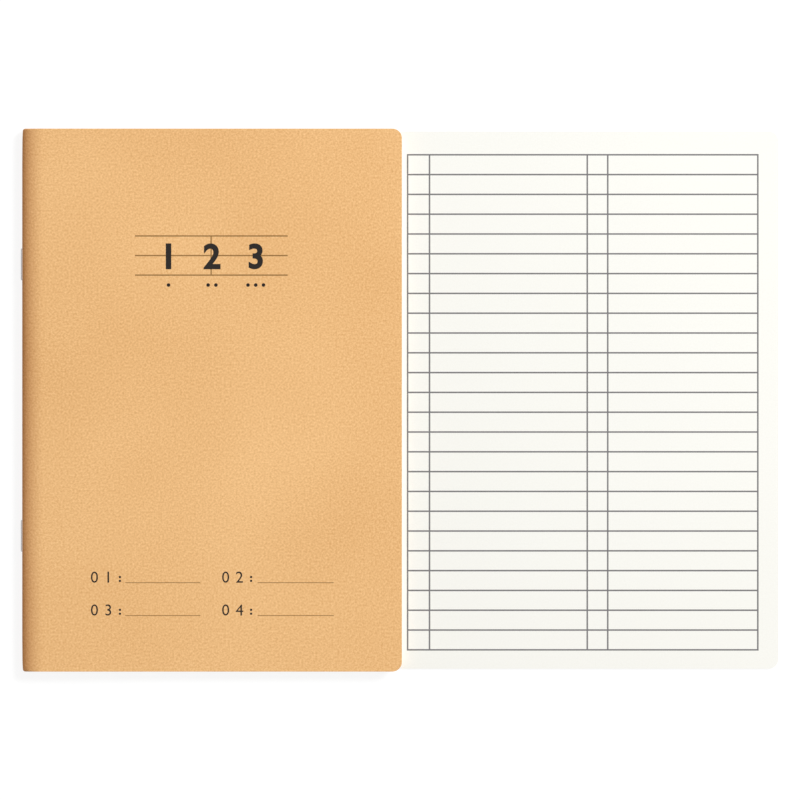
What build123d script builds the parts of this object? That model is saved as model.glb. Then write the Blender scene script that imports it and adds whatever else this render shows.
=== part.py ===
"""Stapled exercise book: a folded card cover, fifteen folded sheets, two wire staples and a drawn-out leaf.

The book lies closed with its front cover up. The origin is the middle of its underside, +X runs from the
spine to the fore edge, +Y to the head and +Z up.
"""

from build123d import *
import os

# Cover
cover_width = 147.0
cover_height = 210.0
cover_thickness = 0.30
corner_radius = 3.7

# Sheets
sheet_count = 15
leaf_thickness = 0.10
leaf_air = 0.015
leaf_corner_radius = 3.7
fore_edge_margin = 1.0
head_margin = 1.0
fold_radius = 0.30

# Staples
wire_diameter = 0.45
wire_bend_radius = 0.30
crown_length = 12.0
crown_gap = 0.03
clinch_length = 4.5
clinch_gap = 0.05
staple_spacing = 105.0
leg_clearance = 0.06

# Drawn-out leaf
loose_leaf_width = 146.0
tuck_depth = 0.3
slide_clearance = 0.015

# Places worked out from the sizes above
leaf_pitch = leaf_thickness + leaf_air
tuck_slot = leaf_thickness + 2 * slide_clearance
stack_half = fold_radius + sheet_count * leaf_pitch - leaf_air
cover_inner = stack_half + tuck_slot
spine_radius = cover_inner + cover_thickness
middle = spine_radius
spine_x = -cover_width / 2
fore_edge_x = cover_width / 2
fold_x = spine_x + spine_radius
leaf_edge_x = fore_edge_x - fore_edge_margin
leaf_height = cover_height - 2 * head_margin
tucked_edge_x = fore_edge_x - tuck_depth
leg_ys = [side * staple_spacing / 2 + end * crown_length / 2 for side in (1, -1) for end in (1, -1)]
leg_hole_radius = wire_diameter / 2 + leg_clearance
fold_section = Plane(origin=(fold_x, 0, middle), x_dir=(1, 0, 0), z_dir=(0, -1, 0))

os.makedirs("parts", exist_ok=True)


def write(part, node):
    """Labels a finished piece and writes it under its node's name."""
    part.label = node
    export_step(part, f"parts/{node}.step")


def panel(node, left, right, height, bottom, thickness, radius):
    """A flat sheet from left to right, with its two fore-edge corners rounded."""
    with BuildPart() as sheet:
        with BuildSketch(Plane.XY.offset(bottom)) as outline:
            with Locations((left, 0)):
                Rectangle(right - left, height, align=(Align.MIN, Align.CENTER))
            fillet(outline.vertices().group_by(Axis.X)[-1], radius)
        extrude(amount=thickness)
    write(sheet.part, node)


def fold(node, inner_radius, thickness, height):
    """A half-round strip about the fold, with holes that the staples' legs pass through."""
    outer_radius = inner_radius + thickness
    with BuildPart() as strip:
        with BuildSketch(fold_section):
            Circle(outer_radius)
            Circle(inner_radius, mode=Mode.SUBTRACT)
            Rectangle(
                outer_radius, 2 * outer_radius, align=(Align.MIN, Align.CENTER), mode=Mode.SUBTRACT
            )
        extrude(amount=height / 2, both=True)
        with BuildSketch(Plane.YZ.offset(fold_x)):
            with Locations(*[(y, middle) for y in leg_ys]):
                Circle(leg_hole_radius)
        extrude(amount=-outer_radius, mode=Mode.SUBTRACT)
    write(strip.part, node)


def staple(node, centre_y):
    """A wire staple: crown outside the spine, legs through the folds, ends clinched in the middle spread."""
    crown_x = spine_x - crown_gap - wire_diameter / 2
    clinch_x = fold_x - fold_radius + clinch_gap + wire_bend_radius
    upper, lower = centre_y + crown_length / 2, centre_y - crown_length / 2
    route = [
        (clinch_x, upper - clinch_length),
        (clinch_x, upper),
        (crown_x, upper),
        (crown_x, lower),
        (clinch_x, lower),
        (clinch_x, lower + clinch_length),
    ]
    with BuildPart() as wire:
        with BuildLine(Plane.XY.offset(middle)) as path:
            FilletPolyline(*route, radius=wire_bend_radius)
        with BuildSketch(Plane(origin=path.line @ 0, z_dir=path.line % 0)):
            Circle(wire_diameter / 2)
        sweep()
    write(wire.part, node)


# Cover sheet
panel(
    "front_cover", fold_x, fore_edge_x, cover_height, middle + cover_inner, cover_thickness, corner_radius
)
panel("back_cover", fold_x, fore_edge_x, cover_height, 0, cover_thickness, corner_radius)
fold("cover_fold", cover_inner, cover_thickness, cover_height)

# Folded sheets, the outermost first
for sheet_number in range(1, sheet_count + 1):
    inner_face = fold_radius + (sheet_count - sheet_number) * leaf_pitch
    outer_face = inner_face + leaf_thickness
    halves = {
        f"leaf_{sheet_number:02d}": middle + inner_face,
        f"leaf_{2 * sheet_count + 1 - sheet_number:02d}": middle - outer_face,
    }
    for leaf, bottom in halves.items():
        panel(leaf, fold_x, leaf_edge_x, leaf_height, bottom, leaf_thickness, leaf_corner_radius)
    fold(f"sheet_fold_{sheet_number:02d}", inner_face, leaf_thickness, leaf_height)

# Staples
staple("staple_head", staple_spacing / 2)
staple("staple_tail", -staple_spacing / 2)

# Drawn-out leaf, tucked between the back cover and the last leaf
panel(
    "loose_leaf",
    tucked_edge_x,
    tucked_edge_x + loose_leaf_width,
    leaf_height,
    cover_thickness + slide_clearance,
    leaf_thickness,
    leaf_corner_radius,
)
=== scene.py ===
"""Looks of a stapled exercise book: kraft card cover, ruled leaves and one leaf drawn out.

The book lies closed with its front cover up. Lengths are in metres, +X runs from the spine to the
fore edge, +Y to the head and +Z up. Sheets of paper and card are grids that are bent round their
fold. The ruling is faces of a sheet with ink on them, and the print on the cover is a thin piece.
"""

from __future__ import annotations

import logging
import math
from dataclasses import dataclass
from enum import Enum
from typing import Callable, Iterable, Mapping, Sequence

import bmesh
import bpy
from bmesh.types import BMEdge, BMesh, BMFace, BMVert
from bpy.types import Material, Node, NodeSocket as Socket, NodeTree, Object
from mathutils import Matrix, Vector

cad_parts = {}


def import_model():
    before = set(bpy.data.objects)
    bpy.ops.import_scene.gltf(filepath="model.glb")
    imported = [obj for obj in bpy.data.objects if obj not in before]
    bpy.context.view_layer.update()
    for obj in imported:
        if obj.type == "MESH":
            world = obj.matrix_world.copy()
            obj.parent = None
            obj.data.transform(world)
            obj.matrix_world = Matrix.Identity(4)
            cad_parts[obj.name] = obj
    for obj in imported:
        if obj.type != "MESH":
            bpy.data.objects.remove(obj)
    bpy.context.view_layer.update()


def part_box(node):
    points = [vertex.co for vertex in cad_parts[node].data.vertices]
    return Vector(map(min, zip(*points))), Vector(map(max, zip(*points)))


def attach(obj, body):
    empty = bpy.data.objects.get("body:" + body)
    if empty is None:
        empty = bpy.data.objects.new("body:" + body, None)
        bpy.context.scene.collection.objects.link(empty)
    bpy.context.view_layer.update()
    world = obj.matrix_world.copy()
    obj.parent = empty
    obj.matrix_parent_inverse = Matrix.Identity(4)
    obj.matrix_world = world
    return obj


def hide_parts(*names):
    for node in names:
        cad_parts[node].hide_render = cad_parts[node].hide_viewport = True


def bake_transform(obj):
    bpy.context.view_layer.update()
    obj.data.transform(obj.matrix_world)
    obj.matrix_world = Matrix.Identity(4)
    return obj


LOG = logging.getLogger("exercise_book")
MM = 0.001
SHEET_COUNT = 15

# Radius of the fore-edge corners of cover and leaves
CORNER_RADIUS = 3.7 * MM

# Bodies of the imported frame
COVER_BODY = "front_cover_panel"
STITCH_BODY = "stitching"
DRAWN_BODY = "drawn_leaf"

# The map that lays a sheet out flat, and what it adds to X so that a half has one sign throughout
UV_MAP = "sheet"
MAP_SHIFT = 100.0 * MM

# Distances at which points of a trimmed grid and of a digit are merged
GRID_WELD = 1e-7
DIGIT_WELD = 1e-6

# Angles from which a bend is shaded as an edge, and from which it is a cut edge of card
CRISP_ANGLE = math.radians(35)
CUT_ANGLE = math.radians(60)

# Least upright part of the normal of a face that can be printed, and steps in a rounded edge
LEVEL_FACE = 0.5
ROUND_STEPS = 2

Colour = tuple[float, float, float, float]
Point = tuple[float, float]
Value = float | tuple[float, ...] | Socket
Inputs = Mapping[str | int, Value]


def srgb(red: int, green: int, blue: int) -> Colour:
    """Turns a colour as seen on a screen into a linear one.

    Args:
        red: Red level, 0 to 255.
        green: Green level, 0 to 255.
        blue: Blue level, 0 to 255.

    Returns:
        The linear colour with full alpha.
    """

    def linear(level: int) -> float:
        """Linear value of one screen level."""
        share = level / 255
        return share / 12.92 if share <= 0.04045 else ((share + 0.055) / 1.055) ** 2.4

    return linear(red), linear(green), linear(blue), 1.0


class Side(Enum):
    """Which face of a leaf is meant."""

    RECTO = "recto"
    VERSO = "verso"


class Half(Enum):
    """Halves of a folded sheet: sign, stretch of the fold's curve, and sink."""

    FRONT = (1.0, 3.3, 0.46 * MM)
    BACK = (-1.0, 1.0, 0.0)

    @property
    def sign(self) -> float:
        """1 above the middle plane, -1 below it."""
        return self.value[0]

    @property
    def stretch(self) -> float:
        """Length of the half's curve over its height."""
        return self.value[1]

    @property
    def sink(self) -> float:
        """How far the half sinks towards the other between its fold and its fore edge."""
        return self.value[2]


class Ink(Enum):
    """Material slots of a ruled sheet."""

    BARE = 0
    PRINTED = 1


class Stroke(Enum):
    """Material slots of the print on the cover."""

    HEAVY = 0
    FINE = 1


class Slot(Enum):
    """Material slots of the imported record."""

    CARD = "kraft_card"
    PAPER = "page_paper"
    WIRE = "staple_wire"


# Finishes


class NodeBench:
    """Short ways to lay out one tree of shader nodes."""

    def __init__(self, tree: NodeTree) -> None:
        """Keeps the tree that gets the nodes."""
        self.tree = tree

    def fill(self, node: Node, inputs: Inputs) -> Node:
        """Gives a node's inputs plain values, or links them to other nodes.

        Args:
            node: The node.
            inputs: A value or a socket for each input, by its name or its place.

        Returns:
            The node.
        """
        for key, value in inputs.items():
            if isinstance(value, Socket):
                self.tree.links.new(value, node.inputs[key])
            else:
                node.inputs[key].default_value = value
        return node

    def add(self, kind: str, inputs: Inputs | None = None) -> Node:
        """Adds a node of a kind, named without the word ShaderNode, and fills in its inputs."""
        return self.fill(self.tree.nodes.new(f"ShaderNode{kind}"), inputs or {})

    def math(self, operation: str, *values: Value) -> Socket:
        """Works out a value.

        Args:
            operation: What is done.
            values: What it is done to.

        Returns:
            The result.
        """
        node = self.tree.nodes.new("ShaderNodeMath")
        node.operation = operation
        return self.fill(node, dict(enumerate(values))).outputs["Value"]

    def stretch(self, value: Socket, span: Point = (0.0, 1.0), to: Point = (0.0, 1.0)) -> Socket:
        """Stretches a value from the range that it comes in to another, and holds it there."""
        ends = {"From Min": span[0], "From Max": span[1], "To Min": to[0], "To Max": to[1]}
        return self.add("MapRange", {"Value": value, **ends}).outputs["Result"]

    def average(self, first: Socket, second: Socket, share: float) -> Socket:
        """Mixes two values in a fixed share."""
        return self.add("Mix", {"Factor": share, "A": first, "B": second}).outputs["Result"]

    def tint(self, first: Value, second: Colour, share: Socket, blend: str = "MIX") -> Socket:
        """Mixes two colours by a mask.

        Args:
            first: The colour where the mask is 0.
            second: The colour where it is 1.
            share: The mask.
            blend: How the second colour lies over the first.

        Returns:
            The mixed colour.
        """
        node = self.tree.nodes.new("ShaderNodeMix")
        node.data_type, node.blend_type = "RGBA", blend
        low, high = (at for at, socket in enumerate(node.inputs) if socket.type == "RGBA")
        self.fill(node, {low: first, high: second, "Factor": share})
        return next(socket for socket in node.outputs if socket.type == "RGBA")


@dataclass(frozen=True)
class FibreEffect:
    """Paper fibres, as a node group that every sheet's material shares.

    Attributes:
        name: Name of the group.
        grain: Detail and roughness of the grain's noise.
        clouds: Detail and roughness of the clouds' noise.
        flecks: Detail and roughness of the flecks' noise.
        cloud_share: Share of the clouds in the tone.
        fleck_span: Noise at which a fleck starts and at which it is full.
        fleck_height: Share of the flecks in the relief.
    """

    name: str = "paper_fibres"
    grain: Point = (3.0, 0.65)
    clouds: Point = (2.0, 0.5)
    flecks: Point = (1.0, 0.4)
    cloud_share: float = 0.22
    fleck_span: Point = (0.66, 0.78)
    fleck_height: float = 0.35

    def group(self) -> NodeTree:
        """Builds the group, or returns the one already built.

        Returns:
            A group that turns surface coordinates into a tone, a fleck mask and a height.
        """
        if self.name in bpy.data.node_groups:
            return bpy.data.node_groups[self.name]
        made = bpy.data.node_groups.new(self.name, "ShaderNodeTree")
        sockets = made.interface
        sockets.new_socket("Vector", in_out="INPUT", socket_type="NodeSocketVector")
        for label in ("Grain Scale", "Cloud Scale", "Fleck Scale"):
            sockets.new_socket(label, in_out="INPUT", socket_type="NodeSocketFloat")
        for label in ("Tone", "Flecks", "Height"):
            sockets.new_socket(label, in_out="OUTPUT", socket_type="NodeSocketFloat")
        bench = NodeBench(made)
        start, end = made.nodes.new("NodeGroupInput"), made.nodes.new("NodeGroupOutput")
        looks = {"Grain Scale": self.grain, "Cloud Scale": self.clouds, "Fleck Scale": self.flecks}
        noises = []
        for scale, (detail, roughness) in looks.items():
            inputs = {"Vector": start.outputs["Vector"], "Scale": start.outputs[scale]}
            inputs |= {"Detail": detail, "Roughness": roughness}
            noises.append(bench.add("TexNoise", inputs).outputs["Fac"])
        grain, clouds, flecks = noises
        results = {
            "Tone": bench.average(grain, clouds, self.cloud_share),
            "Flecks": bench.stretch(flecks, self.fleck_span),
            "Height": bench.average(grain, flecks, self.fleck_height),
        }
        bench.fill(end, results)
        return made


class Finish:
    """A finish whose material is built once.

    Attributes:
        name: The material's name.
    """

    name: str

    def material(self) -> Material:
        """Builds the material, or returns the one already built.

        Returns:
            The finished material.
        """
        if self.name in bpy.data.materials:
            return bpy.data.materials[self.name]
        made = bpy.data.materials.new(self.name)
        made.use_nodes = True
        self._dress(NodeBench(made.node_tree), made.node_tree.nodes["Principled BSDF"])
        return made

    def _dress(self, bench: NodeBench, shader: Node) -> None:
        """Lays out the nodes that feed the shader."""
        raise NotImplementedError


@dataclass(frozen=True)
class FibreFinish(Finish):
    """A matt sheet of paper or card with visible fibres.

    Attributes:
        name: The material's name.
        dark: Tone of the darkest fibres.
        light: Tone of the lightest fibres.
        fleck_share: How strongly the flecks show.
        grain_scale: Grains in a metre.
        bump: Strength of the relief.
        roughness: Lowest and highest roughness.
        fleck: Tone of the scattered flecks, if it isn't the lightest one.
        rub: Tint of the painted shade along the spine fold, if it has one.
        rub_span: Its start and end in the sheet's map: the spine and 10 mm from it.
        rub_fade: How quickly the painted shade fades.
        cloud_scale: Clouds in a metre.
        fleck_ratio: Scale of the flecks over that of the grain.
        tone_span: Values of the fibres that get the dark and the light tone.
        relief: Depth of the relief.
        specular: Level of the surface's reflection.
    """

    name: str
    dark: Colour
    light: Colour
    fleck_share: float
    grain_scale: float
    bump: float
    roughness: Point
    fleck: Colour | None = None
    rub: Colour | None = None
    rub_span: Point = (26.5 * MM, 36.5 * MM)
    rub_fade: float = 2.2
    cloud_scale: float = 12.0
    fleck_ratio: float = 0.6
    tone_span: Point = (0.3, 0.7)
    relief: float = 0.05 * MM
    specular: float = 0.25

    def _dress(self, bench: NodeBench, shader: Node) -> None:
        """Lays out the fibres and feeds the shader with them.

        Args:
            bench: The material's tree.
            shader: Its shader.
        """
        place, fibres = bench.add("UVMap"), bench.add("Group")
        place.uv_map, fibres.node_tree = UV_MAP, FibreEffect().group()
        scales = {
            "Grain Scale": self.grain_scale,
            "Cloud Scale": self.cloud_scale,
            "Fleck Scale": self.grain_scale * self.fleck_ratio,
        }
        bench.fill(fibres, {"Vector": place.outputs["UV"], **scales})
        tone, flecks, height = (fibres.outputs[label] for label in ("Tone", "Flecks", "Height"))
        colour = bench.tint(self.dark, self.light, bench.stretch(tone, self.tone_span))
        share = bench.math("MULTIPLY", flecks, self.fleck_share)
        colour = bench.tint(colour, self.fleck or self.light, share)
        # Painted shade: darkens the card towards the spine fold, standing in for the fold curving
        # away from the light.
        if self.rub:
            mask = self._fold_mask(bench, place.outputs["UV"])
            colour = bench.tint(colour, self.rub, mask, "MULTIPLY")
        bump = bench.add("Bump", {"Strength": self.bump, "Distance": self.relief, "Height": height})
        look = {
            "Base Color": colour,
            "Roughness": bench.stretch(tone, to=self.roughness),
            "Specular IOR Level": self.specular,
            "Normal": bump.outputs["Normal"],
        }
        bench.fill(shader, look)

    def _fold_mask(self, bench: NodeBench, place: Socket) -> Socket:
        """Makes the mask of the painted shade: 1 along the fold, fading out beside it.

        Args:
            bench: The material's tree.
            place: The sheet's map.

        Returns:
            The mask.
        """
        across = bench.add("SeparateXYZ", {"Vector": place}).outputs["X"]
        fade = bench.stretch(bench.math("ABSOLUTE", across), self.rub_span, to=(1.0, 0.0))
        return bench.math("POWER", fade, self.rub_fade)


@dataclass(frozen=True)
class InkFinish(FibreFinish):
    """Printing ink in the fibres: dark where it lies thick, light where they show through.

    Attributes:
        fleck_share: How strongly the thinnest spots show.
        grain_scale: Grains in a metre.
        bump: Strength of the relief.
        roughness: Lowest and highest roughness.
    """

    fleck_share: float = 0.3
    grain_scale: float = 1500.0
    bump: float = 0.1
    roughness: Point = (0.6, 0.75)


@dataclass(frozen=True)
class WireFinish(Finish):
    """Drawn galvanised wire.

    Attributes:
        name: The material's name.
        dull: Tone in the drawing marks.
        bright: Tone between them.
        mark_scale: Marks in a metre.
        mark_stretch: How the marks are drawn out along the wire's crown.
        mark_detail: Detail of the marks.
        roughness: Lowest and highest roughness.
    """

    name: str
    dull: Colour
    bright: Colour
    mark_scale: float = 6000.0
    mark_stretch: tuple[float, float, float] = (1.0, 0.15, 1.0)
    mark_detail: float = 3.0
    roughness: Point = (0.25, 0.45)

    def _dress(self, bench: NodeBench, shader: Node) -> None:
        """Lays out the drawing marks and feeds the shader with them.

        Args:
            bench: The material's tree.
            shader: Its shader.
        """
        place = bench.add("TexCoord").outputs["Object"]
        drawn = bench.add("Mapping", {"Vector": place, "Scale": self.mark_stretch})
        look = {"Scale": self.mark_scale, "Detail": self.mark_detail}
        marks = bench.add("TexNoise", {"Vector": drawn.outputs["Vector"], **look}).outputs["Fac"]
        metal = {
            "Metallic": 1.0,
            "Base Color": bench.tint(self.dull, self.bright, marks),
            "Roughness": bench.stretch(marks, to=self.roughness),
        }
        bench.fill(shader, metal)


KRAFT = FibreFinish(
    "brown_card_finish",
    dark=srgb(218, 162, 99),
    light=srgb(254, 208, 149),
    fleck=srgb(205, 148, 88),
    fleck_share=0.3,
    grain_scale=1300.0,
    bump=0.35,
    roughness=(0.72, 0.9),
    # Painted shade along the spine fold: a darker warm tint multiplied in towards the fold.
    rub=(0.8, 0.58, 0.44, 1.0),
)
PAPER = FibreFinish(
    "cream_paper_finish",
    dark=srgb(245, 244, 237),
    light=srgb(250, 249, 243),
    fleck=srgb(240, 238, 229),
    fleck_share=0.15,
    grain_scale=1600.0,
    bump=0.08,
    roughness=(0.75, 0.88),
)
RULING_INK = InkFinish("ruling_ink", dark=srgb(113, 111, 112), light=srgb(130, 128, 129))
COVER_INK = InkFinish("cover_ink", dark=srgb(15, 12, 11), light=srgb(36, 29, 24))
GUIDE_INK = InkFinish("guide_ink", dark=srgb(144, 106, 57), light=srgb(158, 119, 69))
STAPLE_WIRE = WireFinish(
    "wire_finish", dull=(0.42, 0.42, 0.43, 1.0), bright=(0.66, 0.66, 0.67, 1.0)
)


# Sheets


@dataclass(frozen=True)
class FoldCurve:
    """Quarter-oval section of one half of a folded sheet.

    Attributes:
        tip_x: Where the fold's outer face meets the middle plane.
        middle: Height of the middle plane.
        reach: Distance of the flat part from the middle plane.
        half: Which half it is.
        slope: Where the flat part starts and stops to sink.
    """

    tip_x: float
    middle: float
    reach: float
    half: Half
    slope: Point

    @property
    def length(self) -> float:
        """Length of the curve from its tip to the flat part."""
        return self.half.stretch * self.reach

    def sunk(self, x: float) -> float:
        """How far the half has sunk at x, gently at both ends of the slope."""
        share = min(1.0, max(0.0, (x - self.slope[0]) / (self.slope[1] - self.slope[0])))
        return self.half.sink * share * share * (3 - 2 * share)

    def place(self, x: float) -> Point:
        """Finds the point of the curve or the flat part at x.

        Args:
            x: The place across.

        Returns:
            X and Z of the point.
        """
        run = min(1.0, max(0.0, 1 - (x - self.tip_x) / self.length))
        away = self.reach * math.sqrt(1 - run * run) - self.sunk(x)
        return x, self.middle + self.half.sign * away

    def section(self, first_rise: float, steps: int, others: Iterable[float]) -> list[Point]:
        """Lists points of the half, evenly turned in its curve.

        Args:
            first_rise: Distance of the first point from the middle plane.
            steps: Number of steps in the curve.
            others: X of further points. Those before the first point are left out.

        Returns:
            X and Z of the points, from near the tip to the fore edge.
        """
        first = math.asin(min(1.0, first_rise / self.reach))
        turns = [first + (math.pi / 2 - first) / steps * step for step in range(steps + 1)]
        bends = [self.tip_x + self.length * (1 - math.cos(turn)) for turn in turns]
        places = {*bends, *(x for x in others if x > bends[0])}
        return [self.place(x) for x in sorted(places)]


@dataclass(frozen=True)
class SpineTaper:
    """How the folded edge draws in towards head and tail.

    Attributes:
        spine_x: The spine's outer face.
        end: From the middle to the head of the cover.
        depth: How far the end is drawn in.
        length: How far from the end that starts.
        corner: Radius of the cover's corners at the spine.
        fade: Distance from the spine at which nothing is drawn in.
    """

    spine_x: float
    end: float
    depth: float = 0.3 * MM
    length: float = 8.0 * MM
    corner: float = 0.8 * MM
    fade: float = 10.0 * MM

    def shift(self, x: float, y: float) -> float:
        """How far a point is drawn in.

        Args:
            x: Its place across.
            y: Its place along.

        Returns:
            The way to move it along X.
        """
        bend = max(0.0, abs(y) - self.end + self.length) / self.length
        turn = max(0.0, abs(y) - self.end + self.corner)
        round_off = self.corner - math.sqrt(max(0.0, self.corner**2 - turn**2))
        return (self.depth * bend**2 + round_off) * max(0.0, 1 - (x - self.spine_x) / self.fade)


@dataclass(frozen=True)
class Outline:
    """Outline of a sheet: its edge to the right, its height and its rounded corners.

    Attributes:
        edge_x: The fore edge.
        height: Length from head to tail.
        radius: Radius of the fore-edge corners.
        steps: Steps in a corner.
    """

    edge_x: float
    height: float
    radius: float
    steps: int = 8

    @property
    def corner_x(self) -> float:
        """Where the corners start across the sheet."""
        return self.edge_x - self.radius

    @property
    def corner_y(self) -> float:
        """Where the corners start along the sheet, from its middle."""
        return self.height / 2 - self.radius

    def edge_at(self, y: float) -> float:
        """Finds the fore edge at a place along the sheet.

        Args:
            y: The place.

        Returns:
            X of the edge.
        """
        into = abs(y) - self.corner_y
        if into <= 0:
            return self.edge_x
        return self.corner_x + math.sqrt(max(0.0, self.radius**2 - into**2))

    def rows(self, extra: Iterable[float]) -> list[float]:
        """Y of the sheet's rows of points, from tail to head.

        Args:
            extra: Further rows, such as the edges of printed lines.

        Returns:
            All rows in order.
        """
        turns = [math.pi / 2 * step / self.steps for step in range(self.steps + 1)]
        corner = [self.corner_y + self.radius * math.sin(turn) for turn in turns]
        return sorted({*corner, *(-y for y in corner), *extra})


@dataclass(frozen=True)
class RuledForm:
    """The printed table of a page: rows with two narrow and two wide columns.

    Attributes:
        columns: Widths from left to right as a reader sees them.
        pitch: Height of a row.
        row_count: Number of rows.
        top_y: The top rule.
        outer_margin: From the table to the fore edge.
        line: Width of a line.
    """

    columns: tuple[float, ...] = (8.48 * MM, 61.07 * MM, 7.93 * MM, 58.10 * MM)
    pitch: float = 7.666 * MM
    row_count: int = 25
    top_y: float = 94.97 * MM
    outer_margin: float = 6.52 * MM
    line: float = 0.6 * MM

    def uprights(self, edge_x: float, side: Side) -> list[float]:
        """X of the table's upright lines on a leaf.

        Args:
            edge_x: The leaf's fore edge.
            side: Which face is printed. A verso is seen from below, so its columns are mirrored.

        Returns:
            X of each line's middle, from the fore edge on.
        """
        places = [edge_x - self.outer_margin]
        for width in self.columns[::-1] if side is Side.RECTO else self.columns:
            places.append(places[-1] - width)
        return places

    def rules(self) -> list[float]:
        """Y of the table's level lines, from the head on."""
        return [self.top_y - self.pitch * row for row in range(self.row_count + 1)]

    def edges(self, middles: Iterable[float]) -> list[float]:
        """Both edges of each line."""
        return [middle + half for middle in middles for half in (-self.line / 2, self.line / 2)]

    def upright_edges(self, edge_x: float) -> list[float]:
        """X of both edges of every upright line, on both faces of a leaf."""
        return self.edges(x for side in Side for x in self.uprights(edge_x, side))

    def inked(self, x: float, y: float, edge_x: float, side: Side) -> bool:
        """Whether a point of a page is on a printed line.

        Args:
            x: The point's place across the leaf.
            y: The point's place along the leaf.
            edge_x: The leaf's fore edge.
            side: Which face the point is on.

        Returns:
            True on a line.
        """
        half = self.line / 2
        uprights, rules = self.uprights(edge_x, side), self.rules()
        within_x = uprights[-1] - half < x < uprights[0] + half
        within_y = rules[-1] - half < y < rules[0] + half
        on_upright = any(abs(x - place) < half for place in uprights)
        on_rule = any(abs(y - place) < half for place in rules)
        return within_x and within_y and (on_upright or on_rule)

    def print_on(self, bm: BMesh, edge_x: float) -> None:
        """Puts ink on the faces of a sheet that lie on the table's lines.

        Args:
            bm: A ruled leaf or folded sheet.
            edge_x: The leaf's fore edge.
        """
        for face in bm.faces:
            if abs(face.normal.z) < LEVEL_FACE:
                continue
            centre = face.calc_center_median()
            side = Side.RECTO if face.normal.z > 0 else Side.VERSO
            if self.inked(centre.x, centre.y, edge_x, side):
                face.material_index = Ink.PRINTED.value


def bent_grid(
    columns: Sequence[Point], rows: Sequence[float], outline: Outline, taper: SpineTaper
) -> BMesh:
    """A grid that is bent to a section and trimmed to an outline.

    Args:
        columns: X and Z of the section's points.
        rows: Y of the grid's rows.
        outline: Outline that trims the fore edge.
        taper: How the folded edge draws in.

    Returns:
        The surface, one face thick.
    """
    bm = bmesh.new()
    across, along, half = len(columns) - 1, len(rows) - 1, 0.5
    bmesh.ops.create_grid(bm, x_segments=across, y_segments=along, size=half)
    for vert in bm.verts:
        x, z = columns[round((vert.co.x + half) * across)]
        y = rows[round((vert.co.y + half) * along)]
        trimmed = min(x, outline.edge_at(y)) if x > outline.corner_x else x + taper.shift(x, y)
        vert.co = Vector((trimmed, y, z))
    bmesh.ops.remove_doubles(bm, verts=bm.verts, dist=GRID_WELD)
    bmesh.ops.recalc_face_normals(bm, faces=bm.faces)
    return bm


def thicken(bm: BMesh, thickness: float, outward: Callable[[BMFace], bool]) -> None:
    """Gives a bent surface its thickness on the inner side.

    Args:
        bm: The surface.
        thickness: Thickness of the sheet.
        outward: Whether a face of the surface points outwards.
    """
    bm.normal_update()
    largest = max(bm.faces, key=lambda face: face.calc_area())
    if not outward(largest):
        bmesh.ops.reverse_faces(bm, faces=bm.faces)
    bmesh.ops.solidify(bm, geom=bm.faces[:], thickness=thickness)
    bmesh.ops.recalc_face_normals(bm, faces=bm.faces)


def round_edges(bm: BMesh, edges: Sequence[BMEdge], radius: float) -> set[BMFace]:
    """Rounds sharp edges.

    Args:
        bm: The piece.
        edges: Its sharp edges.
        radius: Radius that they get.

    Returns:
        The faces of the rounding.
    """
    made = bmesh.ops.bevel(
        bm,
        geom=edges,
        offset=radius,
        segments=ROUND_STEPS,
        profile=0.5,
        affect="EDGES",
        material=-1,
    )
    return set(made["faces"])


def only(kind: type, parts: Iterable[BMVert | BMEdge | BMFace]) -> list:
    """The parts of one kind: points, edges or faces."""
    return [part for part in parts if isinstance(part, kind)]


def map_sheet(bm: BMesh, middle: float) -> None:
    """Lays the sheet's surface out flat in its map, in metres.

    Args:
        bm: The sheet.
        middle: Height that parts the front half from the back half.
    """
    layer = bm.loops.layers.uv.new(UV_MAP)
    for face in bm.faces:
        turned = -1.0 if face.calc_center_median().z < middle else 1.0
        for loop in face.loops:
            place = loop.vert.co
            loop[layer].uv = (turned * (place.x + MAP_SHIFT), place.y + place.z)


def finish_mesh(
    bm: BMesh, name: str, materials: Iterable[Material], smooth: bool = True
) -> Object:
    """Turns a bmesh into an object with crisp edges.

    Args:
        bm: The mesh, which is freed.
        name: Name of the piece.
        materials: Its material slots in order.
        smooth: Whether its bends are shaded smooth.

    Returns:
        The linked object.
    """
    for face in bm.faces:
        face.smooth = smooth
    for edge in bm.edges:
        if len(edge.link_faces) == 2 and edge.calc_face_angle() > CRISP_ANGLE:
            edge.smooth = False
    mesh = bpy.data.meshes.new(name)
    bm.to_mesh(mesh)
    bm.free()
    for material in materials:
        mesh.materials.append(material)
    made = bpy.data.objects.new(name, mesh)
    bpy.context.scene.collection.objects.link(made)
    return made


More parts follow.
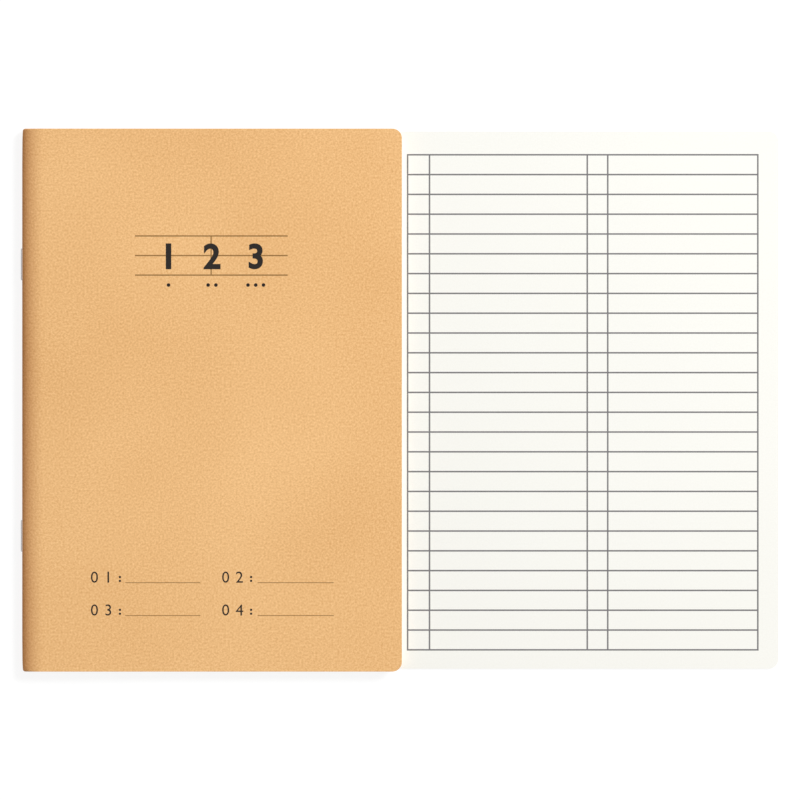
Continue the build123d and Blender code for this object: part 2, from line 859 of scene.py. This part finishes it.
@dataclass(frozen=True)
class BookSizes:
    """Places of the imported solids.

    Attributes:
        spine_x: The spine's outer face.
        fore_edge_x: The covers' fore edge.
        thickness: Thickness of the closed book.
        cover_height: Covers from head to tail.
        leaf_edge_x: The leaves' fore edge.
        leaf_height: Leaves from head to tail.
        slope_span: Where the closed book starts and stops to get thinner, from the spine.
    """

    spine_x: float
    fore_edge_x: float
    thickness: float
    cover_height: float
    leaf_edge_x: float
    leaf_height: float
    slope_span: Point = (8.0 * MM, 74.0 * MM)

    @classmethod
    def from_frame(cls) -> BookSizes:
        """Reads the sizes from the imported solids.

        Returns:
            The sizes.
        """
        spine, panel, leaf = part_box("cover_fold"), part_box("front_cover"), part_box("leaf_01")
        return cls(
            spine_x=spine[0].x,
            fore_edge_x=panel[1].x,
            thickness=panel[1].z,
            cover_height=panel[1].y - panel[0].y,
            leaf_edge_x=leaf[1].x,
            leaf_height=leaf[1].y - leaf[0].y,
        )

    @property
    def middle(self) -> float:
        """Height of the middle plane."""
        return self.thickness / 2

    @property
    def taper(self) -> SpineTaper:
        """How the folded edges draw in."""
        return SpineTaper(self.spine_x, self.cover_height / 2)

    @property
    def slope(self) -> Point:
        """Where the closed book gets thinner, behind the thick fold."""
        return self.spine_x + self.slope_span[0], self.spine_x + self.slope_span[1]

    def slope_stations(self, count: int) -> list[float]:
        """X of evenly spaced points along the slope."""
        start, end = self.slope
        return [start + (end - start) * step / count for step in range(count + 1)]


@dataclass
class Cover:
    """The folded card cover: a back that turns round the spine, and a front that joins it there.

    Attributes:
        sizes: Places of the solids.
        card: Thickness of the card.
        radius: Radius of its fore-edge corners.
        print_depth: Room left for the print on the front.
        trim: What is cut off at head and at tail, which keeps the piece inside its solid.
        edge_round: Radius of the cut edges.
        curve_steps: Steps in half the fold.
        slope_steps: Steps in the slope behind the fold.
        row_count: Rows along the book, apart from those in the corners.
        lap: From the spine's tip to where the pieces join.
        strip: Half of the flat strip along the spine's tip.
        turn: Half of a band of heights round the middle plane; not used.
        crease: Two distances from the spine's tip; not used.
    """

    sizes: BookSizes
    card: float = 0.26 * MM
    radius: float = CORNER_RADIUS
    print_depth: float = 0.02 * MM
    trim: float = 0.01 * MM
    edge_round: float = 0.05 * MM
    curve_steps: int = 20
    slope_steps: int = 16
    row_count: int = 16
    lap: float = 1.0 * MM
    strip: float = 0.6 * MM
    turn: float = 0.1 * MM
    crease: Point = (1.3 * MM, 5.0 * MM)

    @property
    def outline(self) -> Outline:
        """Outline of one half."""
        return Outline(self.sizes.fore_edge_x, self.sizes.cover_height - 2 * self.trim, self.radius)

    @property
    def top(self) -> float:
        """Height of the front's outer face."""
        return self.sizes.thickness - self.print_depth

    @property
    def join(self) -> float:
        """Where the two pieces meet."""
        return self.sizes.spine_x + self.lap

    def build(self) -> list[Object]:
        """Builds and dresses both pieces.

        Returns:
            The front piece and the back piece.
        """
        over, under = self._across(Half.FRONT), self._across(Half.BACK)
        turned = [place for place in over if place[0] <= self.join]
        flat = [place for place in over if place[0] >= self.join]
        front = self._piece("cover_front", flat, Half.FRONT)
        back = self._piece("cover_back", under[::-1] + turned, Half.BACK)
        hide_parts("front_cover")
        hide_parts("back_cover", "cover_fold")
        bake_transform(front)
        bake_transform(back)
        return [front, back]

    def curve(self, half: Half) -> FoldCurve:
        """Finds the section of one half's outer face.

        Args:
            half: Which half.

        Returns:
            The section.
        """
        middle = self.sizes.middle
        reach = self.top - middle if half is Half.FRONT else middle
        return FoldCurve(self.sizes.spine_x, middle, reach, half, self.sizes.slope)

    def _across(self, half: Half) -> list[Point]:
        """Points on the section of one half's outer face.

        Args:
            half: Which half.

        Returns:
            X and Z of its points, from the spine's tip to the fore edge.
        """
        flat = self.sizes.slope_stations(self.slope_steps)
        others = [self.join, *flat, self.outline.corner_x, self.outline.edge_x]
        return self.curve(half).section(self.strip, self.curve_steps, others)

    def _piece(self, name: str, columns: Sequence[Point], half: Half) -> Object:
        """One piece of the cover.

        Args:
            name: Name of the piece.
            columns: Section of its outer face.
            half: The half that its flat part belongs to.

        Returns:
            The piece.
        """
        step, last = self.sizes.cover_height / self.row_count, self.row_count // 2
        rows = self.outline.rows(step * count for count in range(1 - last, last))
        bm = bent_grid(columns, rows, self.outline, self.sizes.taper)
        thicken(bm, self.card, lambda face: face.normal.z * half.sign > 0)
        self._round_cuts(bm)
        map_sheet(bm, self.sizes.middle)
        return finish_mesh(bm, name, [KRAFT.material()])

    def _round_cuts(self, bm: BMesh) -> None:
        """Rounds the cut edges of the card, apart from those in the bend of the spine.

        The rounding is shaded apart from the flat faces, which would look bent beside it.

        Args:
            bm: The piece of the cover.
        """
        limit = self.sizes.slope[0] - self.edge_round
        sharp = [
            edge
            for edge in bm.edges
            if len(edge.link_faces) == 2
            and edge.calc_face_angle() > CUT_ANGLE
            and min(vert.co.x for vert in edge.verts) > limit
        ]
        rounded = round_edges(bm, sharp, self.edge_round)
        for edge in {edge for face in rounded for edge in face.edges}:
            if not rounded.issuperset(edge.link_faces):
                edge.smooth = False


@dataclass
class FoldedSheet:
    """One folded sheet of the book: a front leaf, its fold and a back leaf.

    Attributes:
        number: The sheet's number, the outermost first.
        sizes: Places of the solids.
        form: The table printed on its four pages.
        paper: Thickness of the paper.
        radius: Radius of its fore-edge corners.
        curve_steps: Steps in half the fold.
        slope_steps: Steps in the slope behind the fold.
        gutter: How far the flat strip in the innermost fold goes up and down from the middle plane.
        gutter_step: What each sheet further out adds to both.
        gutter_paper: Thickness of that strip.
        gutter_slack: How deep in the paper a point counts as on its inner face, and how near to a
            height it counts as there, both in shares of the paper.
        turn: Heights from the middle plane; not used.
    """

    number: int
    sizes: BookSizes
    form: RuledForm
    paper: float = 0.07 * MM
    radius: float = CORNER_RADIUS
    curve_steps: int = 9
    slope_steps: int = 8
    gutter: Point = (0.04 * MM, 0.33 * MM)
    gutter_step: float = 0.012 * MM
    gutter_paper: float = 0.012 * MM
    gutter_slack: Point = (0.5, 0.05)
    turn: Point = (-0.25 * MM, -0.15 * MM)

    @property
    def front_leaf(self) -> str:
        """Node of the front leaf."""
        return f"leaf_{self.number:02d}"

    @property
    def back_leaf(self) -> str:
        """Node of the back leaf."""
        return f"leaf_{2 * SHEET_COUNT + 1 - self.number:02d}"

    def build(self) -> Object:
        """Builds and dresses the sheet.

        Returns:
            The piece.
        """
        middle = self.sizes.middle
        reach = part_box(self.front_leaf)[1].z - middle
        widen = self.gutter_step * (SHEET_COUNT - self.number)
        outline = Outline(self.sizes.leaf_edge_x, self.sizes.leaf_height, self.radius)
        over, under = (
            self._across(half, reach, strip + widen, outline)
            for half, strip in zip(Half, self.gutter)
        )
        rows = outline.rows(self.form.edges(self.form.rules()))
        bm = bent_grid(under[::-1] + over, rows, outline, self.sizes.taper)
        thicken(bm, self.paper, self._outward)
        self._tuck_gutter(bm, over[0], under[0])
        map_sheet(bm, middle)
        self.form.print_on(bm, outline.edge_x)
        name = f"sheet_{self.number:02d}"
        piece = finish_mesh(bm, name, [PAPER.material(), RULING_INK.material()])
        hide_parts(self.front_leaf, self.back_leaf, f"sheet_fold_{self.number:02d}")
        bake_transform(piece)
        return piece

    def _outward(self, face: BMFace) -> bool:
        """Whether a face points up in the front half, or down in the back half."""
        return (face.normal.z > 0) == (face.calc_center_median().z > self.sizes.middle)

    def _across(self, half: Half, reach: float, strip: float, outline: Outline) -> list[Point]:
        """Points on the section of one half's outer face.

        Args:
            half: Which half.
            reach: Distance of its flat part from the middle plane.
            strip: Distance of the first point from the middle plane.
            outline: Outline of the leaf.

        Returns:
            X and Z of its points, from near the fold's tip to the fore edge.
        """
        sizes = self.sizes
        tip_x = sizes.spine_x + sizes.middle - reach
        curve = FoldCurve(tip_x, sizes.middle, reach, half, sizes.slope)
        printed = self.form.upright_edges(outline.edge_x)
        flat = sizes.slope_stations(self.slope_steps)
        others = [*printed, *flat, outline.corner_x, outline.edge_x]
        return curve.section(strip, self.curve_steps, others)

    def _tuck_gutter(self, bm: BMesh, over: Point, under: Point) -> None:
        """Thins the strip in the fold, so that such strips lie over each other in the open book.

        Args:
            bm: The sheet.
            over: First point of the front half's section.
            under: First point of the back half's section.
        """
        middle = self.sizes.middle
        inward, near = (share * self.paper for share in self.gutter_slack)
        strip = {
            vert
            for vert in bm.verts
            if under[1] - near < vert.co.z < over[1] + near and vert.co.x < self.sizes.slope[0]
        }
        for vert in strip:
            drawn = vert.co.x - self.sizes.taper.shift(vert.co.x, vert.co.y)
            if vert.co.z > middle and drawn > over[0] + inward:
                vert.co.z = over[1] - self.gutter_paper
            elif under[1] + near < vert.co.z < middle:
                vert.co.z = under[1] + self.gutter_paper
        for edge in bm.edges:
            if strip.issuperset(edge.verts):
                edge.smooth = False


@dataclass
class LooseLeaf:
    """The ruled leaf that is drawn out beside the book.

    Attributes:
        sizes: Places of the solids.
        form: The table printed on both faces.
        radius: Radius of its outer corners.
        untrimmed: What its outer margin has over that of a bound leaf, which is cut after folding.
    """

    sizes: BookSizes
    form: RuledForm
    radius: float = CORNER_RADIUS
    untrimmed: float = 1.4 * MM

    def build(self) -> Object:
        """Builds and dresses the leaf.

        Returns:
            The piece.
        """
        low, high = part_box("loose_leaf")
        outline = Outline(high.x, high.y - low.y, self.radius)
        ruled_edge = high.x - self.untrimmed
        printed = self.form.upright_edges(ruled_edge)
        across = sorted({low.x, *printed, outline.corner_x, outline.edge_x})
        rows = outline.rows(self.form.edges(self.form.rules()))
        bm = bent_grid([(x, high.z) for x in across], rows, outline, self.sizes.taper)
        thicken(bm, high.z - low.z, lambda face: face.normal.z > 0)
        map_sheet(bm, 0.0)
        self.form.print_on(bm, ruled_edge)
        piece = finish_mesh(bm, "drawn_leaf_sheet", [PAPER.material(), RULING_INK.material()])
        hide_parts("loose_leaf")
        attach(piece, DRAWN_BODY)
        return piece


# Staples and print


@dataclass
class Staple:
    """A wire staple: a crown outside the spine, two legs through the folds and two clinched ends.

    Attributes:
        node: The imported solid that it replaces.
        bend: Radius of the wire's bends.
        clinch: Length of each clinched end.
        sides: Sides of the wire's section.
        bend_steps: Steps in each bend.
        tip_round: Radius of the cut ends' rims.
        inset: How far it stays inside the solid.
    """

    node: str
    bend: float = 0.30 * MM
    clinch: float = 4.5 * MM
    sides: int = 20
    bend_steps: int = 6
    tip_round: float = 0.05 * MM
    inset: float = 0.005 * MM

    def build(self) -> Object:
        """Builds and dresses the staple.

        Returns:
            The piece.
        """
        inset = Vector((self.inset, self.inset, self.inset))
        low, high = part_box(self.node)
        low, high = low + inset, high - inset
        radius = (high.z - low.z) / 2
        leg = high.x - low.x - 2 * (radius + self.bend)
        crown = high.y - low.y - 2 * (radius + self.bend)
        end = Vector((high.x - radius, high.y - radius - self.clinch, (low.z + high.z) / 2))
        bm = bmesh.new()
        place = Matrix.Translation(end) @ Matrix.Rotation(math.pi / 2, 4, "X")
        bmesh.ops.create_circle(bm, segments=self.sides, radius=radius, matrix=place)
        ring, at, heading = bm.edges[:], end, Vector((0.0, 1.0, 0.0))
        for run in (self.clinch - self.bend, leg, crown, leg):
            ring, at = self._straight(bm, ring, at, heading * run)
            ring, at, heading = self._bend(bm, ring, at, heading)
        self._straight(bm, ring, at, heading * (self.clinch - self.bend))
        caps = bmesh.ops.holes_fill(bm, edges=bm.edges, sides=self.sides)["faces"]
        round_edges(bm, list({edge for cap in caps for edge in cap.edges}), self.tip_round)
        bmesh.ops.recalc_face_normals(bm, faces=bm.faces)
        piece = finish_mesh(bm, f"wire_{self.node}", [STAPLE_WIRE.material()])
        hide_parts(self.node)
        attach(piece, STITCH_BODY)
        return piece

    @staticmethod
    def _straight(
        bm: BMesh, ring: Sequence[BMEdge], at: Vector, run: Vector
    ) -> tuple[list[BMEdge], Vector]:
        """Draws the wire's end out straight.

        Args:
            bm: The staple.
            ring: Edges round the wire's end.
            at: Middle of the end.
            run: How far and which way the end goes.

        Returns:
            Edges and middle of the new end.
        """
        made = bmesh.ops.extrude_edge_only(bm, edges=ring)["geom"]
        bmesh.ops.translate(bm, verts=only(BMVert, made), vec=run)
        return only(BMEdge, made), at + run

    def _bend(
        self, bm: BMesh, ring: Sequence[BMEdge], at: Vector, heading: Vector
    ) -> tuple[list[BMEdge], Vector, Vector]:
        """Bends the wire's end a quarter turn to the left, seen from above.

        Args:
            bm: The staple.
            ring: Edges round the wire's end.
            at: Middle of the end.
            heading: Direction of the end.

        Returns:
            Edges, middle and direction of the new end.
        """
        angle, upright = math.pi / 2, (0.0, 0.0, 1.0)
        quarter = Matrix.Rotation(angle, 3, "Z")
        turned = quarter @ heading
        centre = at + turned * self.bend
        made = bmesh.ops.spin(
            bm, geom=ring, cent=centre, axis=upright, angle=angle, steps=self.bend_steps
        )
        return only(BMEdge, made["geom_last"]), centre + quarter @ (at - centre), turned


@dataclass
class CoverPrint:
    """The print on the front cover: guide rules with numbers, and four blanks to fill in.

    Attributes:
        face: Section of the cover's face.
        depth: Thickness of the ink in lines and dots.
        number_depth: Thickness of the ink in numbers, which lie over the rules.
        strip_part: Length of the parts of a line, which follow the bent face.
        rule_xs: Both ends of the guide rules.
        rule_ys: Places of the guide rules, the top one first.
        rule_width: Width of a guide rule and of the post.
        post_x: Place of the post between the guide rules.
        number_xs: Middles of the large numbers.
        number_y: Middle of the large numbers along the cover.
        number_height: Height of the large numbers.
        number_bold: How far their outline is widened, in shares of the font's size.
        dot_y: Place of the counting dots.
        dot_pitch: Distance between them.
        dot_radius: Radius of a counting dot.
        dot_sides: Sides of a dot.
        blank_spans: Both ends of the blanks in a row.
        blank_ys: Places of the rows of blanks.
        blank_width: Width of a blank's line.
        colon_xs: Places of the colons in front of the blanks.
        colon_ys: Heights of a colon's dots above the blank.
        colon_radius: Radius of a colon's dot.
        digit_xs: Places of a blank's two digits from its colon.
        digit_height: Height of those digits.
        font_steps: Steps in the curves of a digit.
    """

    face: FoldCurve
    depth: float = 0.015 * MM
    number_depth: float = 0.018 * MM
    strip_part: float = 4.0 * MM
    rule_xs: Point = (-29.69 * MM, 29.34 * MM)
    rule_ys: tuple[float, ...] = (63.48 * MM, 55.90 * MM, 48.34 * MM)
    rule_width: float = 0.5 * MM
    post_x: float = -0.27 * MM
    number_xs: tuple[float, ...] = (-16.74 * MM, 0.08 * MM, 16.99 * MM)
    number_y: float = 55.6 * MM
    number_height: float = 10.0 * MM
    number_bold: float = 0.03
    dot_y: float = 44.5 * MM
    dot_pitch: float = 3.0 * MM
    dot_radius: float = 0.7 * MM
    dot_sides: int = 20
    blank_spans: tuple[Point, ...] = ((-33.44 * MM, -4.45 * MM), (17.71 * MM, 47.13 * MM))
    blank_ys: tuple[float, ...] = (-70.6 * MM, -83.3 * MM)
    blank_width: float = 0.28 * MM
    colon_xs: Point = (-35.53 * MM, 15.19 * MM)
    colon_ys: Point = (0.7 * MM, 2.2 * MM)
    colon_radius: float = 0.45 * MM
    digit_xs: Point = (-9.85 * MM, -4.5 * MM)
    digit_height: float = 4.3 * MM
    font_steps: int = 8

    def build(self) -> Object:
        """Builds and dresses the print.

        Returns:
            The piece.
        """
        bm = bmesh.new()
        self._guides(bm)
        self._blanks(bm)
        for vert in bm.verts:
            vert.co.z += self.face.place(vert.co.x)[1]
        bmesh.ops.recalc_face_normals(bm, faces=bm.faces)
        map_sheet(bm, 0.0)
        inks = [COVER_INK.material(), GUIDE_INK.material()]
        piece = finish_mesh(bm, "cover_print", inks, smooth=False)
        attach(piece, COVER_BODY)
        return piece

    def _guides(self, bm: BMesh) -> None:
        """Adds the guide rules with the post, the large numbers and their counting dots.

        Args:
            bm: The print.
        """
        half = self.rule_width / 2
        for y in self.rule_ys:
            self._strip(bm, self.rule_xs, (y - half, y + half))
        ends = (self.rule_ys[-1] + half, self.rule_ys[0] - half)
        self._strip(bm, (self.post_x - half, self.post_x + half), ends)
        for count, x in enumerate(self.number_xs, start=1):
            place = (x, self.number_y)
            self._number(bm, str(count), place, self.number_height, self.number_bold)
            first = x - self.dot_pitch * (count - 1) / 2
            for step in range(count):
                self._dot(bm, (first + self.dot_pitch * step, self.dot_y), self.dot_radius)

    def _blanks(self, bm: BMesh) -> None:
        """Adds the numbered blanks.

        Args:
            bm: The print.
        """
        half, columns = self.blank_width / 2, list(zip(self.blank_spans, self.colon_xs))
        blanks = [(span, x, y) for y in self.blank_ys for span, x in columns]
        for count, (span, x, y) in enumerate(blanks, start=1):
            self._strip(bm, span, (y - half, y + half))
            for rise in self.colon_ys:
                self._dot(bm, (x, y + rise), self.colon_radius)
            for digit, along in zip(f"{count:02d}", self.digit_xs):
                place = (x + along, y + self.digit_height / 2)
                self._number(bm, digit, place, self.digit_height)

    @staticmethod
    def _raise(bm: BMesh, faces: Sequence[BMFace], depth: float) -> None:
        """Gives flat faces the ink's thickness."""
        made = bmesh.ops.extrude_face_region(bm, geom=faces)["geom"]
        bmesh.ops.translate(bm, verts=only(BMVert, made), vec=(0.0, 0.0, depth))

    def _strip(self, bm: BMesh, across: Point, along: Point) -> None:
        """Adds a straight line.

        Args:
            bm: The print.
            across: Its left and right end.
            along: Its lower and upper edge.
        """
        (left, right), (low, high) = across, along
        parts = max(1, round((right - left) / self.strip_part))
        made = bmesh.ops.create_grid(bm, x_segments=parts, y_segments=1, size=0.5)["verts"]
        bmesh.ops.scale(bm, verts=made, vec=(right - left, high - low, 1.0))
        bmesh.ops.translate(bm, verts=made, vec=((left + right) / 2, (low + high) / 2, 0.0))
        faces = list({face for vert in made for face in vert.link_faces})
        for face in faces:
            face.material_index = Stroke.FINE.value
        self._raise(bm, faces, self.depth)

    def _dot(self, bm: BMesh, place: Point, radius: float) -> None:
        """Adds a round dot.

        Args:
            bm: The print.
            place: Its middle.
            radius: Its radius.
        """
        circle = bmesh.ops.create_circle(
            bm, cap_ends=True, segments=self.dot_sides, radius=radius
        )
        made = circle["verts"]
        bmesh.ops.translate(bm, verts=made, vec=(*place, 0.0))
        self._raise(bm, made[0].link_faces[:], self.depth)

    def _number(
        self, bm: BMesh, text: str, place: Point, height: float, bold: float = 0.0
    ) -> None:
        """Adds a plain number.

        Args:
            bm: The print.
            text: The digits.
            place: Its middle.
            height: Height of the digits.
            bold: How far their outline is widened.
        """
        digits = bpy.data.curves.new("number", "FONT")
        digits.body, digits.size, digits.offset = text, 1.0, bold
        digits.resolution_u = self.font_steps
        holder = bpy.data.objects.new("number", digits)
        bpy.context.scene.collection.objects.link(holder)
        bpy.context.view_layer.update()
        graph = bpy.context.evaluated_depsgraph_get()
        shape = bpy.data.meshes.new_from_object(holder.evaluated_get(graph))
        bpy.data.objects.remove(holder)
        bpy.data.curves.remove(digits)
        xs, ys = [v.co.x for v in shape.vertices], [v.co.y for v in shape.vertices]
        scale = Matrix.Scale(height / (max(ys) - min(ys)), 4)
        centre = Vector(((min(xs) + max(xs)) / 2, (min(ys) + max(ys)) / 2, 0.0))
        shape.transform(Matrix.Translation((*place, 0.0)) @ scale @ Matrix.Translation(-centre))
        before = set(bm.verts)
        bm.from_mesh(shape)
        bpy.data.meshes.remove(shape)
        fresh = [vert for vert in bm.verts if vert not in before]
        bmesh.ops.remove_doubles(bm, verts=fresh, dist=DIGIT_WELD)
        faces = [face for face in bm.faces if not before.issuperset(face.verts)]
        self._raise(bm, faces, self.number_depth)


# Surroundings


@dataclass
class Studio:
    """Floor, light and camera.

    Attributes:
        top: Height that the picture's width is measured at.
        centre: Middle of the picture on the object.
        view_width: What the picture shows across.
        lens: Focal length in millimetres.
        sensor: Sensor width in millimetres.
        clip: How far the camera sees, in distances to the object.
        floor_half: Half of the floor's width.
        floor_tone: Tone of the floor as it lights the object.
        seen_tone: Tone of the floor as it is seen.
        floor_glow: What is added to that, which leaves a soft shadow.
        surround: Strength of the light from all round.
        light_from: Direction that the lamps shine from.
        aim_left: How far to the left of the picture's middle they aim.
        far_strength: Strength of the far light.
        far_spread: Angle that it fills.
        far_distance: Where it stands.
        lamp_power: Power of the near lamp.
        lamp_size: Width of the near lamp.
        lamp_distance: Where it stands.
    """

    top: float
    centre: Point = (72.76 * MM, 0.04 * MM)
    view_width: float = 309.3 * MM
    lens: float = 400.0
    sensor: float = 36.0
    clip: float = 4.0
    floor_half: float = 20.0
    floor_tone: Colour = (0.8, 0.8, 0.8, 1.0)
    seen_tone: Colour = (0.22, 0.22, 0.22, 1.0)
    floor_glow: float = 0.85
    surround: float = 0.4
    light_from: tuple[float, float, float] = (0.709, 0.497, 0.5)
    aim_left: float = 60.0 * MM
    far_strength: float = 2.3
    far_spread: float = math.radians(24)
    far_distance: float = 3.0
    lamp_power: float = 7.5
    lamp_size: float = 0.6
    lamp_distance: float = 1.3

    def build(self) -> None:
        """Builds all of it."""
        self._floor()
        self._world()
        self._lamps()
        self._camera()
        bpy.context.scene.view_settings.view_transform = "Standard"

    def _floor(self) -> None:
        """Makes the pale floor, which shows white and keeps a soft shadow."""
        material = bpy.data.materials.new("floor")
        material.use_nodes = True
        material.node_tree.nodes.clear()
        bench = NodeBench(material.node_tree)
        plain = bench.add("BsdfDiffuse", {"Color": self.floor_tone})
        seen = bench.add("BsdfDiffuse", {"Color": self.seen_tone})
        glow = bench.add("Emission", {"Strength": self.floor_glow})
        both = bench.add("AddShader", {0: seen.outputs["BSDF"], 1: glow.outputs["Emission"]})
        self._show(bench, "OutputMaterial", plain.outputs["BSDF"], both.outputs["Shader"])
        bm = bmesh.new()
        bmesh.ops.create_grid(bm, x_segments=1, y_segments=1, size=self.floor_half)
        finish_mesh(bm, "floor", [material])

    def _world(self) -> None:
        """Makes an even white surround."""
        world = bpy.data.worlds.new("surround")
        bpy.context.scene.world = world
        world.use_nodes = True
        world.node_tree.nodes.clear()
        bench, white = NodeBench(world.node_tree), (1.0, 1.0, 1.0, 1.0)
        light, seen = (
            bench.add("Background", {"Color": white, "Strength": strength}).outputs["Background"]
            for strength in (self.surround, 1.0)
        )
        self._show(bench, "OutputWorld", light, seen)

    @staticmethod
    def _show(bench: NodeBench, end: str, lit: Socket, seen: Socket) -> None:
        """Lights the object with one shader, and shows another where the surface itself is seen.

        The camera, reflections and clear pieces see the surface itself.

        Args:
            bench: The tree that gets the nodes.
            end: Kind of its output node.
            lit: The shader that lights the object.
            seen: The shader that is seen.
        """
        path = bench.add("LightPath").outputs
        share = bench.math("MAXIMUM", path["Is Camera Ray"], path["Is Glossy Ray"])
        share = bench.math("MAXIMUM", share, path["Is Transmission Ray"])
        pick = bench.add("MixShader", {"Fac": share, 1: lit, 2: seen})
        bench.add(end, {"Surface": pick.outputs["Shader"]})

    def _lamps(self) -> None:
        """Makes a wide soft light from the upper right, and a nearer lamp beside it."""
        far = bpy.data.lights.new("far_light", "SUN")
        far.energy, far.angle = self.far_strength, self.far_spread
        near = bpy.data.lights.new("near_lamp", "AREA")
        near.shape, near.size, near.energy = "DISK", self.lamp_size, self.lamp_power
        aim = Vector((self.centre[0] - self.aim_left, 0.0, 0.0))
        for data, distance in ((far, self.far_distance), (near, self.lamp_distance)):
            lamp = bpy.data.objects.new(data.name, data)
            bpy.context.scene.collection.objects.link(lamp)
            lamp.location = aim + Vector(self.light_from).normalized() * distance
            lamp.rotation_mode = "QUATERNION"
            lamp.rotation_quaternion = (aim - lamp.location).to_track_quat("-Z", "Y")
            lamp.visible_camera = False

    def _camera(self) -> None:
        """Makes the camera, which looks straight down."""
        data = bpy.data.cameras.new("camera")
        data.lens, data.sensor_width = self.lens, self.sensor
        camera = bpy.data.objects.new("camera", data)
        bpy.context.scene.collection.objects.link(camera)
        distance = self.view_width * self.lens / self.sensor
        camera.location = (*self.centre, self.top + distance)
        data.clip_end = distance * self.clip
        bpy.context.scene.camera = camera


def main() -> None:
    """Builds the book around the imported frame."""
    logging.basicConfig(format="%(name)s: %(message)s")
    LOG.setLevel(logging.INFO)
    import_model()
    sizes, form = BookSizes.from_frame(), RuledForm()
    cover = Cover(sizes)
    made = cover.build()
    made += [FoldedSheet(number, sizes, form).build() for number in range(1, SHEET_COUNT + 1)]
    made.append(LooseLeaf(sizes, form).build())
    made.append(CoverPrint(cover.curve(Half.FRONT)).build())
    made += [Staple(node).build() for node in ("staple_head", "staple_tail")]
    for piece in made:
        LOG.info("%s: %d faces", piece.name, len(piece.data.polygons))
    Studio(top=sizes.thickness).build()


if __name__ == "__main__":
    main()
